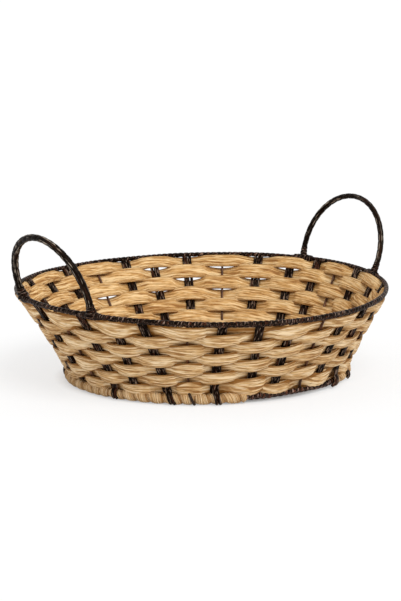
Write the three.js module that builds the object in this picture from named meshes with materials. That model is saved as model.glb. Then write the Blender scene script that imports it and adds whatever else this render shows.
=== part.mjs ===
// A shallow oval straw basket with two hoop handles, woven on dark cane stakes and thin wires.
// Units are millimetres, +Z is up, +X runs through the two handles, and the basket stands on z = 0.
import * as THREE from "three";

// Rim, measured to the middle of the hoop
const rimHalfLength = 190;
const rimHalfWidth = 179;
const rimHeight = 91;
const rimSaddleHeight = 2.2;
const rimTiltHeight = 2.4;
const rimHoopDiameter = 6.2;

// Foot of the wall, measured to the middle of the border
const baseHalfLength = 144.5;
const baseHalfWidth = 131.5;
const baseShiftX = 5;
const baseShiftY = -4.5;
const borderHeight = 12;
const baseHoopDiameter = 5;
const flareCurve = 0.2;

// Stakes: bundles of canes, with a wire upright in every fourth place
const stakeCount = 32;
const wireEvery = 4;
const firstStakeDegrees = 1.6;
const stakeWidth = 11;
const stakeThickness = 3.4;
const canesPerStake = 3;
const caneGroove = 0.8;
const wireDiameter = 2.4;

// Straw rows of the wall, numbered from the rim down
const wallRows = 7;
const strawThickness = 5.6;
const rowGap = 0.6;
const outsideSwellRatio = 1.42;
const insideSwellRatio = 1.2;
const passShoulderShare = 0.86;

// Stakes where a row keeps to the side that it had at the stake before
const rowSlips = [-9, 13];

// The border's straw whipping leaves the hoop bare between these two stake places
const whippingStart = -4.5;
const whippingEnd = 22;

// Floor: a star of flat sticks with straw rows woven over and under its arms
const floorHeight = 7.6;
const starArms = 16;
const armWidth = 8;
const armThickness = 3;
const hubHalfLength = 40;
const floorRows = 6;
const floorStrawThickness = 3.8;
const centreThickness = 4;
const coilTurns = 3;
const coilGroove = 1.4;

// Handles
const handleDiameter = 6.6;
const handleFootDegrees = 17.75;
const handleArchHeight = 56.8;
const handleHorseshoeDegrees = 17.4;
const handleLeanDegrees = 18.3;
const lashingLength = 7;
const lashingWall = 2;

// Fits: gap between touching pieces, and the slack of straw over a stake or a floor stick
const clearance = 0.3;
const strawSlack = 0.4;
const stickSlack = 1.2;

const UP = new THREE.Vector3(0, 0, 1);
const radians = THREE.MathUtils.degToRad;

const straw = new THREE.MeshStandardMaterial({ color: 0xc9a46c, roughness: 0.75, metalness: 0 });
const darkCane = new THREE.MeshStandardMaterial({ color: 0x2a211d, roughness: 0.5, metalness: 0 });
const wrappedWire = new THREE.MeshStandardMaterial({ color: 0x221b18, roughness: 0.45, metalness: 0 });
const rustyWire = new THREE.MeshStandardMaterial({ color: 0x6e4026, roughness: 0.6, metalness: 0.3 });

const basket = new THREE.Group();

function addPiece(name, geometry, material) {
  const piece = new THREE.Mesh(geometry, material);
  piece.name = name;
  basket.add(piece);
  return piece;
}

// A closed skin through rings of points, joined end to start or closed with a cap at each end
function skin(rings, joined) {
  const sides = rings[0].length;
  const positions = rings.flat().flatMap((point) => point.toArray());
  const faces = [];
  const spans = joined ? rings.length : rings.length - 1;
  for (let i = 0; i < spans; i++) {
    const here = i * sides;
    const next = ((i + 1) % rings.length) * sides;
    for (let j = 0; j < sides; j++) {
      const side = (j + 1) % sides;
      faces.push([here + j, next + j, next + side]);
      faces.push([here + j, next + side, here + side]);
    }
  }
  if (!joined) {
    const last = (rings.length - 1) * sides;
    for (let j = 1; j < sides - 1; j++) {
      faces.push([0, j, j + 1]);
      faces.push([last, last + j + 1, last + j]);
    }
  }
  return solidFrom(positions, faces);
}

// Faces turned so that the solid's outside is their front
function solidFrom(positions, faces) {
  const corner = (i) => new THREE.Vector3().fromArray(positions, i * 3);
  let volume = 0;
  for (const [a, b, c] of faces) {
    volume += corner(a).dot(corner(b).cross(corner(c)));
  }
  const turned = volume < 0 ? faces.map(([a, b, c]) => [a, c, b]) : faces;
  const geometry = new THREE.BufferGeometry();
  geometry.setAttribute("position", new THREE.Float32BufferAttribute(positions, 3));
  geometry.setIndex(turned.flat());
  geometry.computeVertexNormals();
  return geometry;
}

// Section points, each [out, up], set at a place with its own two directions
function place(section, centre, out, up) {
  return section.map(([x, y]) => centre.clone().addScaledVector(out, x).addScaledVector(up, y));
}

function roundSection(radius, sides) {
  const points = [];
  for (let i = 0; i < sides; i++) {
    const turn = Math.PI / 2 + ((i + 0.5) / sides) * 2 * Math.PI;
    points.push([Math.cos(turn) * radius, Math.sin(turn) * radius]);
  }
  return points;
}

// Hoops and wires are drawn with six sides, with a flat at the top and bottom this share of the radius away
const barSides = 6;
const flatShare = Math.cos(Math.PI / barSides);

// Wall surface: it flares from the border's crest to the rim, which saddles and tilts as handmade work does
function wallPoint(angle, height) {
  const share = Math.max(height - borderHeight, 0) / (rimHeight - borderHeight);
  const flare = (share + flareCurve * share * share) / (1 + flareCurve);
  const halfLength = baseHalfLength + (rimHalfLength - baseHalfLength) * flare;
  const halfWidth = baseHalfWidth + (rimHalfWidth - baseHalfWidth) * flare;
  const rise = rimSaddleHeight * Math.cos(2 * angle) + rimTiltHeight * Math.sin(angle);
  return new THREE.Vector3(
    baseShiftX * (1 - flare) + halfLength * Math.cos(angle),
    baseShiftY * (1 - flare) + halfWidth * Math.sin(angle),
    height + rise * share,
  );
}

// Steps for finding a direction from two near points
const smallTurn = 0.001;
const smallRise = 0.1;

function wallFrame(angle, height) {
  const centre = wallPoint(angle, height);
  const along = wallPoint(angle + smallTurn, height).sub(centre).normalize();
  const up = wallPoint(angle, height + smallRise).sub(centre).normalize();
  const out = along.clone().cross(up).normalize();
  return { centre, along, up, out };
}

function stakeAngle(place) {
  return radians(firstStakeDegrees) + (place / stakeCount) * 2 * Math.PI;
}

function isWire(stake) {
  return stake % wireEvery === 0;
}

// Rim hoop and base hoop: closed rings, the base hoop level and the rim hoop on the wall's top edge
const ringSteps = 2 * stakeCount;
const hoopRadius = rimHoopDiameter / 2;
const hoopFlat = hoopRadius * flatShare;
const rimRings = [];
for (let i = 0; i < ringSteps; i++) {
  const { centre, along } = wallFrame((i / ringSteps) * 2 * Math.PI, rimHeight);
  const out = along.clone().cross(UP).normalize();
  rimRings.push(place(roundSection(hoopRadius, barSides), centre, out, UP));
}
addPiece("rim_hoop", skin(rimRings, true), wrappedWire);

function basePoint(angle, inward) {
  return new THREE.Vector3(
    baseShiftX + (baseHalfLength - inward) * Math.cos(angle),
    baseShiftY + (baseHalfWidth - inward) * Math.sin(angle),
    0,
  );
}

function baseFrame(angle) {
  const centre = basePoint(angle, 0);
  const along = basePoint(angle + smallTurn, 0).sub(centre).normalize();
  return { centre, out: along.cross(UP).normalize() };
}

const borderMiddle = borderHeight / 2;

function borderRing(section, turn) {
  const { centre, out } = baseFrame(stakeAngle(turn));
  centre.z = borderMiddle;
  return place(section, centre, out, UP);
}

const baseRings = [];
for (let i = 0; i < ringSteps; i++) {
  baseRings.push(borderRing(roundSection(baseHoopDiameter / 2, barSides), i / 2));
}
addPiece("base_hoop", skin(baseRings, true), wrappedWire);

// Straw whipping: a sleeve round the base hoop, open at both ends, with the flat that the basket stands on
const borderSides = 8;
const borderFlat = Math.cos(Math.PI / borderSides);
const whippingOuter = [];
const whippingBore = [];
for (let turn = whippingStart; turn <= whippingEnd; turn += 0.5) {
  whippingOuter.push(borderRing(roundSection(borderMiddle / borderFlat, borderSides), turn));
  const bore = (baseHoopDiameter / 2 + clearance) / borderFlat;
  whippingBore.push(borderRing(roundSection(bore, borderSides), turn));
}
addPiece("border_whipping", sleeve(whippingOuter, whippingBore), straw);

// A wall between two skins of like sections, closed at each end
function sleeve(outer, bore) {
  const sides = outer[0].length;
  const loops = outer.map((ring, i) => ring.concat(bore[i]));
  const positions = loops.flat().flatMap((point) => point.toArray());
  const faces = [];
  const addQuad = (a, b, c, d) => faces.push([a, b, c], [a, c, d]);
  for (let j = 0; j < sides; j++) {
    const next = (j + 1) % sides;
    for (let i = 0; i < outer.length - 1; i++) {
      const here = i * 2 * sides;
      const there = here + 2 * sides;
      addQuad(here + j, there + j, there + next, here + next);
      addQuad(here + sides + j, here + sides + next, there + sides + next, there + sides + j);
    }
    const last = (outer.length - 1) * 2 * sides;
    addQuad(j, next, sides + next, sides + j);
    addQuad(last + j, last + sides + j, last + sides + next, last + next);
  }
  return solidFrom(positions, faces);
}

// Stakes stand on the border, or on the hoop where it is bare, and end under the rim hoop
const baseHoopTop = borderMiddle + (baseHoopDiameter / 2) * flatShare;

function isBare(stake) {
  return stake > whippingEnd && stake < whippingStart + stakeCount;
}

function stakeRings(stake, section) {
  const angle = stakeAngle(stake);
  const bottom = borderHeight + clearance - (stakeThickness / 2) * wallFrame(angle, borderHeight).out.z;
  const top = rimHeight - (hoopRadius + clearance) * wallFrame(angle, rimHeight).up.z;
  const steps = 2;
  const heights = isBare(stake) ? [baseHoopTop + clearance] : [];
  for (let i = 0; i <= steps; i++) {
    heights.push(bottom + ((top - bottom) * i) / steps);
  }
  return heights.map((height) => {
    const { centre, along, out } = wallFrame(angle, height);
    return place(section, centre, out, along);
  });
}

// Canes laid side by side: each cane is a low ridge on both faces
function caneSection() {
  const half = stakeThickness / 2;
  const pitch = stakeWidth / canesPerStake;
  const face = [];
  for (let i = 0; i < canesPerStake; i++) {
    const middle = -stakeWidth / 2 + pitch * (i + 0.5);
    face.push([half, middle]);
    if (i < canesPerStake - 1) {
      face.push([half - caneGroove, middle + pitch / 2]);
    }
  }
  const back = face.map(([x, y]) => [-x, -y]);
  return [[0, -stakeWidth / 2], ...face, [0, stakeWidth / 2], ...back];
}

for (let stake = 0; stake < stakeCount; stake++) {
  const label = String(stake).padStart(2, "0");
  if (isWire(stake)) {
    const rings = stakeRings(stake, roundSection(wireDiameter / 2, barSides));
    addPiece("wire_upright_" + label, skin(rings, false), rustyWire);
  } else {
    addPiece("cane_stake_" + label, skin(stakeRings(stake, caneSection()), false), darkCane);
  }
}

// Rings of each row from one stake to the next
const stepsPerStake = 3;

// Side of a stake that a row passes on: 1 outside, -1 inside
function sideOf(row, stake) {
  let side = row % 2 === 0 ? -1 : 1;
  for (let i = 1 - stakeCount / 2; i <= wrapped(stake); i++) {
    side = rowSlips.includes(i) ? side : -side;
  }
  return -side;
}

// Stake places run from one past the far side round to it, as the slips are counted
function wrapped(stake) {
  const half = stakeCount / 2;
  return ((((stake + half - 1) % stakeCount) + stakeCount) % stakeCount) + 1 - half;
}

const rowsBottom = borderHeight + rowGap;
const rowsTop = rimHeight - hoopRadius - rowGap;
const rowPitch = (rowsTop - rowsBottom) / wallRows;
const plainHalf = (closestPitch() - rowGap) / 2;

function rowHeight(row) {
  return rowsTop - (row + 0.5) * rowPitch;
}

// Least distance up the wall between the middles of two rows, as the rim's dips draw them together
function closestPitch() {
  let least = Infinity;
  for (let stake = 0; stake < stakeCount; stake++) {
    for (let row = 0; row < wallRows - 1; row++) {
      const upper = wallPoint(stakeAngle(stake), rowHeight(row));
      least = Math.min(least, upper.distanceTo(wallPoint(stakeAngle(stake), rowHeight(row + 1))));
    }
  }
  return least;
}

// Distance of a row's middle from the stake's middle where it passes
function reachOf(stake) {
  const half = isWire(stake) ? wireDiameter / 2 : stakeThickness / 2;
  return half + clearance + strawThickness / 2 + strawSlack;
}

// Height of a row above and below its middle: at a stake it swells, but not against the rim or the border
function swellOf(row, stake) {
  const swelled = plainHalf * (sideOf(row, stake) > 0 ? outsideSwellRatio : insideSwellRatio);
  return [row === 0 ? plainHalf : swelled, row === wallRows - 1 ? plainHalf : swelled];
}

// The lowest row fills the wall down to the base hoop where the whipping leaves it bare
const bareDrop = borderHeight - baseHoopTop - clearance;

function dropOf(row, turn) {
  const overHoop = turn > whippingEnd && turn + 1 / stepsPerStake < whippingStart + stakeCount;
  return row === wallRows - 1 && overHoop ? bareDrop : 0;
}

function strawSection(above, below) {
  const half = strawThickness / 2;
  return [
    [0, above],
    [-half, 0],
    [0, -below],
    [half, -below / 2],
    [half, above / 2],
  ];
}

for (let row = 0; row < wallRows; row++) {
  const height = rowHeight(row);
  const rings = [];
  for (let stake = 0; stake < stakeCount; stake++) {
    const side = sideOf(row, stake);
    const nextSide = sideOf(row, stake + 1);
    const floats = side === nextSide;
    const ease = floats ? 1 : passShoulderShare;
    const here = side * reachOf(stake);
    const next = nextSide * reachOf(stake + 1);
    const offsets = [here, ease * here, ease * next];
    const halves = [swellOf(row, stake), [plainHalf, plainHalf], [plainHalf, plainHalf]];
    for (let step = 0; step < stepsPerStake; step++) {
      const turn = stake + step / stepsPerStake;
      const { centre, up, out } = wallFrame(stakeAngle(turn), height);
      centre.addScaledVector(out, offsets[step]);
      const [above, below] = halves[step];
      rings.push(place(strawSection(above, below + dropOf(row, turn)), centre, out, up));
    }
  }
  addPiece("wall_row_" + (row + 1), skin(rings, true), straw);
}

// Floor star: flat sticks crossing under the centre, with their ends at the border's inner side
const hubInward = baseHalfLength - hubHalfLength;
const armEnd = borderMiddle + 2 * clearance;

function armAngle(arm) {
  return (arm / starArms) * 2 * Math.PI;
}

const starOutline = [];
for (let arm = 0; arm < starArms; arm++) {
  const angle = armAngle(arm);
  const sideways = new THREE.Vector3(-Math.sin(angle), Math.cos(angle), 0);
  const inner = basePoint(angle, hubInward);
  const outer = basePoint(angle, armEnd);
  const half = armWidth / 2;
  starOutline.push(inner.clone().addScaledVector(sideways, -half));
  starOutline.push(outer.clone().addScaledVector(sideways, -half));
  starOutline.push(outer.clone().addScaledVector(sideways, half));
  starOutline.push(inner.clone().addScaledVector(sideways, half));
}
const starShape = new THREE.Shape(starOutline.map((point) => new THREE.Vector2(point.x, point.y)));
const starGeometry = new THREE.ExtrudeGeometry(starShape, { depth: armThickness, bevelEnabled: false });
const star = addPiece("floor_star", starGeometry, darkCane);
star.position.z = floorHeight - armThickness / 2;

// Floor rows: each goes over one arm and under the next, and its neighbours the other way round
const floorStart = borderMiddle + clearance + rowGap / 2;
const floorPitch = (hubInward - floorStart) / floorRows;
const floorReach = armThickness / 2 + clearance + floorStrawThickness / 2;
const floorHalf = (floorPitch - rowGap) / 2;
const armShoulder = armWidth / 2 + stickSlack;

for (let row = 0; row < floorRows; row++) {
  const inward = floorStart + (row + 0.5) * floorPitch;
  const rings = [];
  for (let arm = 0; arm < starArms; arm++) {
    const angle = armAngle(arm);
    const out = new THREE.Vector3(Math.cos(angle), Math.sin(angle), 0);
    const along = new THREE.Vector3(-Math.sin(angle), Math.cos(angle), 0);
    const side = (arm + row) % 2 === 0 ? 1 : -1;
    for (const shift of [-armShoulder, armShoulder]) {
      const centre = basePoint(angle, inward).addScaledVector(along, shift);
      centre.z = floorHeight + side * floorReach;
      const half = floorStrawThickness / 2;
      const section = [[-floorHalf, 0], [0, half], [floorHalf, 0], [0, -half]];
      rings.push(place(section, centre, out, UP));
    }
  }
  addPiece("floor_row_" + (row + 1), skin(rings, true), straw);
}

// Floor centre: a coil of straw sewn down over the crossing
const coilSides = 16;
const coilOuter = hubHalfLength - (baseHalfLength - baseHalfWidth) - clearance;
const coilWidth = coilOuter / coilTurns;
const coilProfile = [new THREE.Vector2(0, 0), new THREE.Vector2(coilOuter, 0)];
for (let turn = 0; turn < coilTurns; turn++) {
  const edge = coilOuter - coilWidth * turn;
  coilProfile.push(new THREE.Vector2(edge, centreThickness - coilGroove));
  coilProfile.push(new THREE.Vector2(edge - coilWidth / 2, centreThickness));
}
coilProfile.push(new THREE.Vector2(0, centreThickness));
const coilGeometry = new THREE.LatheGeometry(coilProfile, coilSides);
coilGeometry.rotateX(Math.PI / 2);
const coil = addPiece("floor_centre", coilGeometry, straw);
coil.position.set(baseShiftX, baseShiftY, floorHeight + armThickness / 2 + clearance);

// Handles: horseshoe hoops that lean outward, their feet on the rim hoop
const handleFoot = radians(handleFootDegrees);
const horseshoe = radians(handleHorseshoeDegrees);
const handleLean = radians(handleLeanDegrees);
const archHalfWidth = (rimHalfWidth * Math.sin(handleFoot)) / Math.cos(horseshoe);
const footX = rimHalfLength * Math.cos(handleFoot);
const footTilt = Math.sin(horseshoe);

function archPoint(side, turn) {
  const rise = handleArchHeight * (Math.sin(turn) + Math.sin(horseshoe));
  const y = archHalfWidth * Math.cos(turn);
  const tilt = (rimTiltHeight * y) / rimHalfWidth;
  const rimTop = rimHeight + rimSaddleHeight * Math.cos(2 * handleFoot) + tilt;
  const x = side * (footX + rise * Math.sin(handleLean));
  return new THREE.Vector3(x, y, rimTop + rise * Math.cos(handleLean));
}

// Turn along the arch at which it is this far from the hoop's middle, measured along the leg
function turnAtRise(distance) {
  return Math.asin((distance * Math.cos(horseshoe)) / handleArchHeight - Math.sin(horseshoe));
}

const handleSteps = 18;
const handleSides = 8;
const footRise = hoopFlat + clearance + (handleDiameter / 2) * footTilt;
const lashingOuter = handleDiameter / 2 + clearance + lashingWall;
const lashingRise = hoopFlat + clearance + lashingOuter * footTilt + lashingLength / 2;

for (const [name, side] of [["left", -1], ["right", 1]]) {
  const start = turnAtRise(footRise);
  const rings = [];
  for (let i = 0; i <= handleSteps; i++) {
    const turn = start + ((Math.PI - 2 * start) * i) / handleSteps;
    const centre = archPoint(side, turn);
    const along = archPoint(side, turn + smallTurn).sub(centre).normalize();
    const across = new THREE.Vector3(Math.cos(handleLean), 0, -side * Math.sin(handleLean));
    const out = along.clone().cross(across).normalize();
    rings.push(place(roundSection(handleDiameter / 2, handleSides), centre, out, across));
  }
  addPiece("handle_" + name, skin(rings, false), wrappedWire);

  for (const [end, atFront] of [["front", true], ["back", false]]) {
    const low = turnAtRise(lashingRise);
    const turn = atFront ? Math.PI - low : low;
    const centre = archPoint(side, turn);
    const along = archPoint(side, turn + (atFront ? -smallTurn : smallTurn)).sub(centre).normalize();
    const lashing = addPiece("lashing_" + name + "_" + end, lashingGeometry(), wrappedWire);
    lashing.position.copy(centre);
    lashing.quaternion.setFromUnitVectors(UP, along);
  }
}

// A collar of two tight wraps with its bore round the handle's foot
function lashingGeometry() {
  const bore = (handleDiameter / 2 + clearance) / Math.cos(Math.PI / handleSides);
  const end = lashingLength / 2;
  const profile = [
    new THREE.Vector2(bore, -end),
    new THREE.Vector2(lashingOuter, -end / 2),
    new THREE.Vector2(lashingOuter - caneGroove, 0),
    new THREE.Vector2(lashingOuter, end / 2),
    new THREE.Vector2(bore, end),
    new THREE.Vector2(bore, -end),
  ];
  const geometry = new THREE.LatheGeometry(profile, handleSides);
  geometry.rotateX(Math.PI / 2);
  return geometry;
}

export default basket;
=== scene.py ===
import math

import bpy
import numpy as np
from mathutils import Matrix, Vector


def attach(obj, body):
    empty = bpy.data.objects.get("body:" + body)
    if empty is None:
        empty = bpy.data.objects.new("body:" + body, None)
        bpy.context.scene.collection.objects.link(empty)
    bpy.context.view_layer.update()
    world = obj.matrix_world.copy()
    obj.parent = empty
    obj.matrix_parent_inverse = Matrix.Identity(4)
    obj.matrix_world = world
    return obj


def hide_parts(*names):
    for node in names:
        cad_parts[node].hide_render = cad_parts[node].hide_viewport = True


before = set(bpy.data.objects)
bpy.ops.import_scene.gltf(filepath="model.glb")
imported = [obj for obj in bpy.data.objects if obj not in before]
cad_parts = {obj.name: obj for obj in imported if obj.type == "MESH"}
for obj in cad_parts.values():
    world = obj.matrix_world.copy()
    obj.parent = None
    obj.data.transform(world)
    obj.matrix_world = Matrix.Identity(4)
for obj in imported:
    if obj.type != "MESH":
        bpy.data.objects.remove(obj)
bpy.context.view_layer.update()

# The ground that the basket stands on: a plain pale floor, which keeps its soft shadow.
# It looks white all round, but stays mostly in shade under the basket, where the weave lets it be seen.
floor_side = 16.0
floor_colour = (0.86, 0.86, 0.86, 1)
shaded_reach = 0.12
open_reach = 0.15
shaded_white = 0.1
open_white = 0.72

bpy.ops.mesh.primitive_plane_add(size=floor_side)
studio_floor = bpy.context.object
studio_floor.name = "studio_floor"


def add_node(tree, kind, inputs, **settings):
    """A node with its settings made and each input set to a value or joined to a socket."""
    node = tree.nodes.new("ShaderNode" + kind)
    for name, value in settings.items():
        setattr(node, name, value)
    for name, value in inputs.items():
        if isinstance(value, bpy.types.NodeSocket):
            tree.links.new(value, node.inputs[name])
        else:
            node.inputs[name].default_value = value
    return node


def calculate(tree, operation, *values):
    return add_node(tree, "Math", dict(enumerate(values)), operation=operation).outputs[0]


def remap(tree, value, from_range, to_range=(0, 1)):
    """A value moved from one range to another, and held inside it."""
    return add_node(tree, "MapRange", {
        "Value": value, "From Min": from_range[0], "From Max": from_range[1],
        "To Min": to_range[0], "To Max": to_range[1],
    }).outputs["Result"]


def background_share(tree, share):
    """That share of the rays that see the background, straight, in a reflection or through glass."""
    rays = add_node(tree, "LightPath", {}).outputs
    seen = calculate(tree, "MAXIMUM", rays["Is Camera Ray"], rays["Is Glossy Ray"])
    seen = calculate(tree, "MAXIMUM", seen, rays["Is Transmission Ray"])
    return calculate(tree, "MULTIPLY", seen, share)


floor_paint = bpy.data.materials.new("studio_floor")
floor_paint.use_nodes = True
floor_tree = floor_paint.node_tree
floor_shader = floor_tree.nodes["Principled BSDF"]
floor_shader.inputs["Base Color"].default_value = floor_colour
floor_shader.inputs["Roughness"].default_value = 1
floor_shader.inputs["Specular IOR Level"].default_value = 0
floor_place = add_node(floor_tree, "TexCoord", {})
from_middle = add_node(floor_tree, "VectorMath", {0: floor_place.outputs["Object"]}, operation="LENGTH")
white_share = remap(floor_tree, from_middle.outputs["Value"], (shaded_reach, open_reach),
                    (shaded_white, open_white))
floor_glow = add_node(floor_tree, "Emission", {})
floor_mix = add_node(floor_tree, "MixShader", {
    0: background_share(floor_tree, white_share),
    1: floor_shader.outputs["BSDF"],
    2: floor_glow.outputs["Emission"],
})
floor_tree.links.new(floor_mix.outputs["Shader"], floor_tree.nodes["Material Output"].inputs["Surface"])
studio_floor.data.materials.append(floor_paint)

# The sky: an even soft light from all sides, as in a product studio.
# It is plain white, and at full white wherever it is seen.
sky_strength = 0.8
sky = bpy.data.worlds.new("studio_sky")
bpy.context.scene.world = sky
sky.use_nodes = True
sky_level = remap(sky.node_tree, background_share(sky.node_tree, 1), (0, 1), (sky_strength, 1))
sky_light = sky.node_tree.nodes["Background"]
sky_light.inputs["Color"].default_value = (1, 1, 1, 1)
sky.node_tree.links.new(sky_level, sky_light.inputs["Strength"])

# The camera stands low in front and to the left, with a long lens, as in the photograph.
# Its axis is turned so that the basket's middle lands at target_px of the 401 by 601 frame.
target = Vector((0, 0, 0.0456))
target_px = (202.0, 331.4)
frame_px = (401, 601)
focal_px = 3467.4
camera_distance = 3.494
camera_height = math.radians(11.25)
camera_turn = math.radians(-38.97)
sensor_width = 36
view_end = 50

toward_camera = Vector((
    math.sin(camera_turn) * math.cos(camera_height),
    -math.cos(camera_turn) * math.cos(camera_height),
    math.sin(camera_height),
))
level_right = (-toward_camera).cross(Vector((0, 0, 1))).normalized()
level_up = level_right.cross(-toward_camera)
shift_right = (target_px[0] - frame_px[0] / 2) / focal_px
shift_up = (frame_px[1] / 2 - target_px[1]) / focal_px
look = (-toward_camera - level_right * shift_right - level_up * shift_up).normalized()
camera_right = look.cross(Vector((0, 0, 1))).normalized()
camera_up = camera_right.cross(look)
camera_data = bpy.data.cameras.new("studio_camera")
camera_data.sensor_width = sensor_width
camera_data.lens = focal_px / frame_px[1] * camera_data.sensor_width
camera_data.clip_end = view_end
camera = bpy.data.objects.new("studio_camera", camera_data)
camera.matrix_world = Matrix.LocRotScale(
    target + toward_camera * camera_distance,
    Matrix((camera_right, camera_up, -look)).transposed().to_quaternion(),
    None,
)
bpy.context.scene.collection.objects.link(camera)
bpy.context.scene.camera = camera
bpy.context.scene.view_settings.view_transform = "Standard"

# The lamp: one broad light, high in front of the basket and a little to the left.
# It is wide enough to leave only soft shadows in the weave.
lamp_strength = 1.85
lamp_spread = math.radians(35)
lamp_height = math.radians(49)
lamp_turn = math.radians(-9)
lamp_data = bpy.data.lights.new("broad_lamp", "SUN")
lamp_data.energy = lamp_strength
lamp_data.angle = lamp_spread
lamp = bpy.data.objects.new("broad_lamp", lamp_data)
lamp.rotation_euler = (math.pi / 2 - lamp_height, 0, lamp_turn)
bpy.context.scene.collection.objects.link(lamp)

# The base hoop: the wire that the wall stands on, bound with dark cane like the rim.
# Its lumpy binding lies bare at the front right, and the straw whipping hides the rest.
base_half_length = 0.1445
base_half_width = 0.1315
base_shift = (0.005, -0.0045)
border_height = 0.012
base_hoop_radius = 0.0028
hoop_middle = border_height / 2
hoop_steps = 1200
hoop_sides = 16
hoop_wrap_pitch = 0.0065
hoop_groove = 0.42
hoop_lumps = 0.13
hoop_swell = 0.08
hoop_swell_waves = (41, 17)
strip_roundness = 0.4
strip_width = 0.006
strip_stain_radius = 0.003
strip_stain_step = 0.37
uneven_step = 12.99
angle_step = 0.001


def unit(vectors):
    return vectors / np.linalg.norm(vectors, axis=-1, keepdims=True)


def straight_up(centres):
    return np.broadcast_to([0.0, 0.0, 1.0], centres.shape)


def run_along(centres):
    """The length from the first centre to each one."""
    return np.cumsum(np.linalg.norm(np.diff(centres, axis=0, prepend=centres[:1]), axis=1))


def round_steps(count):
    """That many angles, evenly spaced all the way round."""
    return np.arange(count) / count * 2 * np.pi


def ring_points(centres, outs, ups, x, y):
    """A ring of points round each centre, x away from it outward and y upward."""
    return centres[:, None] + outs[:, None] * x[..., None] + ups[:, None] * y[..., None]


def skin_piece(name, rings, closed, material, fibre=None, tuck=None, inner=None):
    """A smooth mesh through rings of points.

    It keeps the run of the fibre, how much painted shade each point takes where it is grooved or tucked in,
    and how far it is sheltered inside the basket.
    """
    rings = np.asarray(rings)
    count, sides = rings.shape[:2]
    spans = count if closed else count - 1
    i = np.arange(spans)[:, None]
    j = np.arange(sides)[None, :]
    i_next = (i + 1) % count
    j_next = (j + 1) % sides
    quads = np.stack([i * sides + j, i_next * sides + j, i_next * sides + j_next, i * sides + j_next], -1)
    quads = quads.reshape(-1, 4)
    faces = quads.tolist()
    if not closed:
        faces.append(list(range(sides)))
        faces.append(list(range((count - 1) * sides, count * sides))[::-1])
    a, b, c, d = (rings.reshape(-1, 3)[quads[:, k]] for k in range(4))
    inside_out = (np.cross(a, b) * c).sum() + (np.cross(a, c) * d).sum() < 0
    mesh = bpy.data.meshes.new(name)
    mesh.from_pydata(rings.reshape(-1, 3).tolist(), [], faces)
    mesh.shade_smooth()
    if not closed:
        for cap in list(mesh.polygons)[-2:]:
            cap.use_smooth = False
    if inside_out:
        mesh.flip_normals()
    run = mesh.attributes.new("fibre", "FLOAT_VECTOR", "POINT")
    run.data.foreach_set("vector", np.asarray(rings if fibre is None else fibre, np.float32).reshape(-1))
    for label, share in (("tuck", tuck), ("inner", inner)):
        values = np.zeros(count * sides) if share is None else np.clip(share, 0, 1)
        kept = mesh.attributes.new(label, "FLOAT", "POINT")
        kept.data.foreach_set("value", np.asarray(values, np.float32).reshape(-1))
    mesh.materials.append(material)
    piece = bpy.data.objects.new(name, mesh)
    bpy.context.scene.collection.objects.link(piece)
    return piece


def wrapped_cord(centres, outs, ups, radius, pitch, depth, sides=20, closed=False, lumps=0.05):
    """Rings of a round bar bound with a flat strip, which leaves a groove at each turn."""
    steps = np.linalg.norm(np.diff(centres, axis=0, append=centres[:1]), axis=1)
    run = np.concatenate([[0], np.cumsum(steps)[:-1]])
    length = steps.sum() if closed else run[-1]
    turns = round(length / pitch) if closed else length / pitch
    phi = round_steps(sides)
    turn = run[:, None] / length * turns - phi[None] / (2 * np.pi)
    across = turn % 1
    groove = 1 - np.maximum(1 - (2 * across - 1) ** 2, 0) ** strip_roundness
    uneven = 1 + lumps * np.sin(np.floor(turn) % turns * uneven_step)
    radii = radius * (1 - depth * groove) * uneven
    rings = ring_points(centres, outs, ups, radii * np.cos(phi), radii * np.sin(phi))
    fibre = np.stack([phi[None] * strip_stain_radius + np.floor(turn) * strip_stain_step,
                      across * strip_width, 0 * across], -1)
    return rings, fibre, groove


def open_group(name, inputs, outputs):
    """A shader node group with its named sockets."""
    group = bpy.data.node_groups.new(name, "ShaderNodeTree")
    for label, kind in inputs:
        group.interface.new_socket(label, in_out="INPUT", socket_type="NodeSocket" + kind)
    for label, kind in outputs:
        group.interface.new_socket(label, in_out="OUTPUT", socket_type="NodeSocket" + kind)
    return group, group.nodes.new("NodeGroupInput").outputs, group.nodes.new("NodeGroupOutput").inputs


def blend_colour(tree, share, first, second, kind="MIX"):
    node = add_node(tree, "Mix", {"Factor": share}, data_type="RGBA", blend_type=kind)
    for name, value in (("A", first), ("B", second)):
        socket = next(s for s in node.inputs if s.name == name and s.type == "RGBA")
        if isinstance(value, bpy.types.NodeSocket):
            tree.links.new(value, socket)
        else:
            socket.default_value = value
    return next(s for s in node.outputs if s.type == "RGBA")


def drawn_noise(tree, run, scales, detail, roughness=0.5):
    """Noise over the run of the fibre, drawn out by a scale along it and two across it."""
    drawn = add_node(tree, "VectorMath", {0: run, 1: scales}, operation="MULTIPLY")
    noise = add_node(tree, "TexNoise", {"Vector": drawn.outputs["Vector"], "Scale": 1, "Detail": detail,
                                        "Roughness": roughness})
    return noise.outputs["Fac"]
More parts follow.
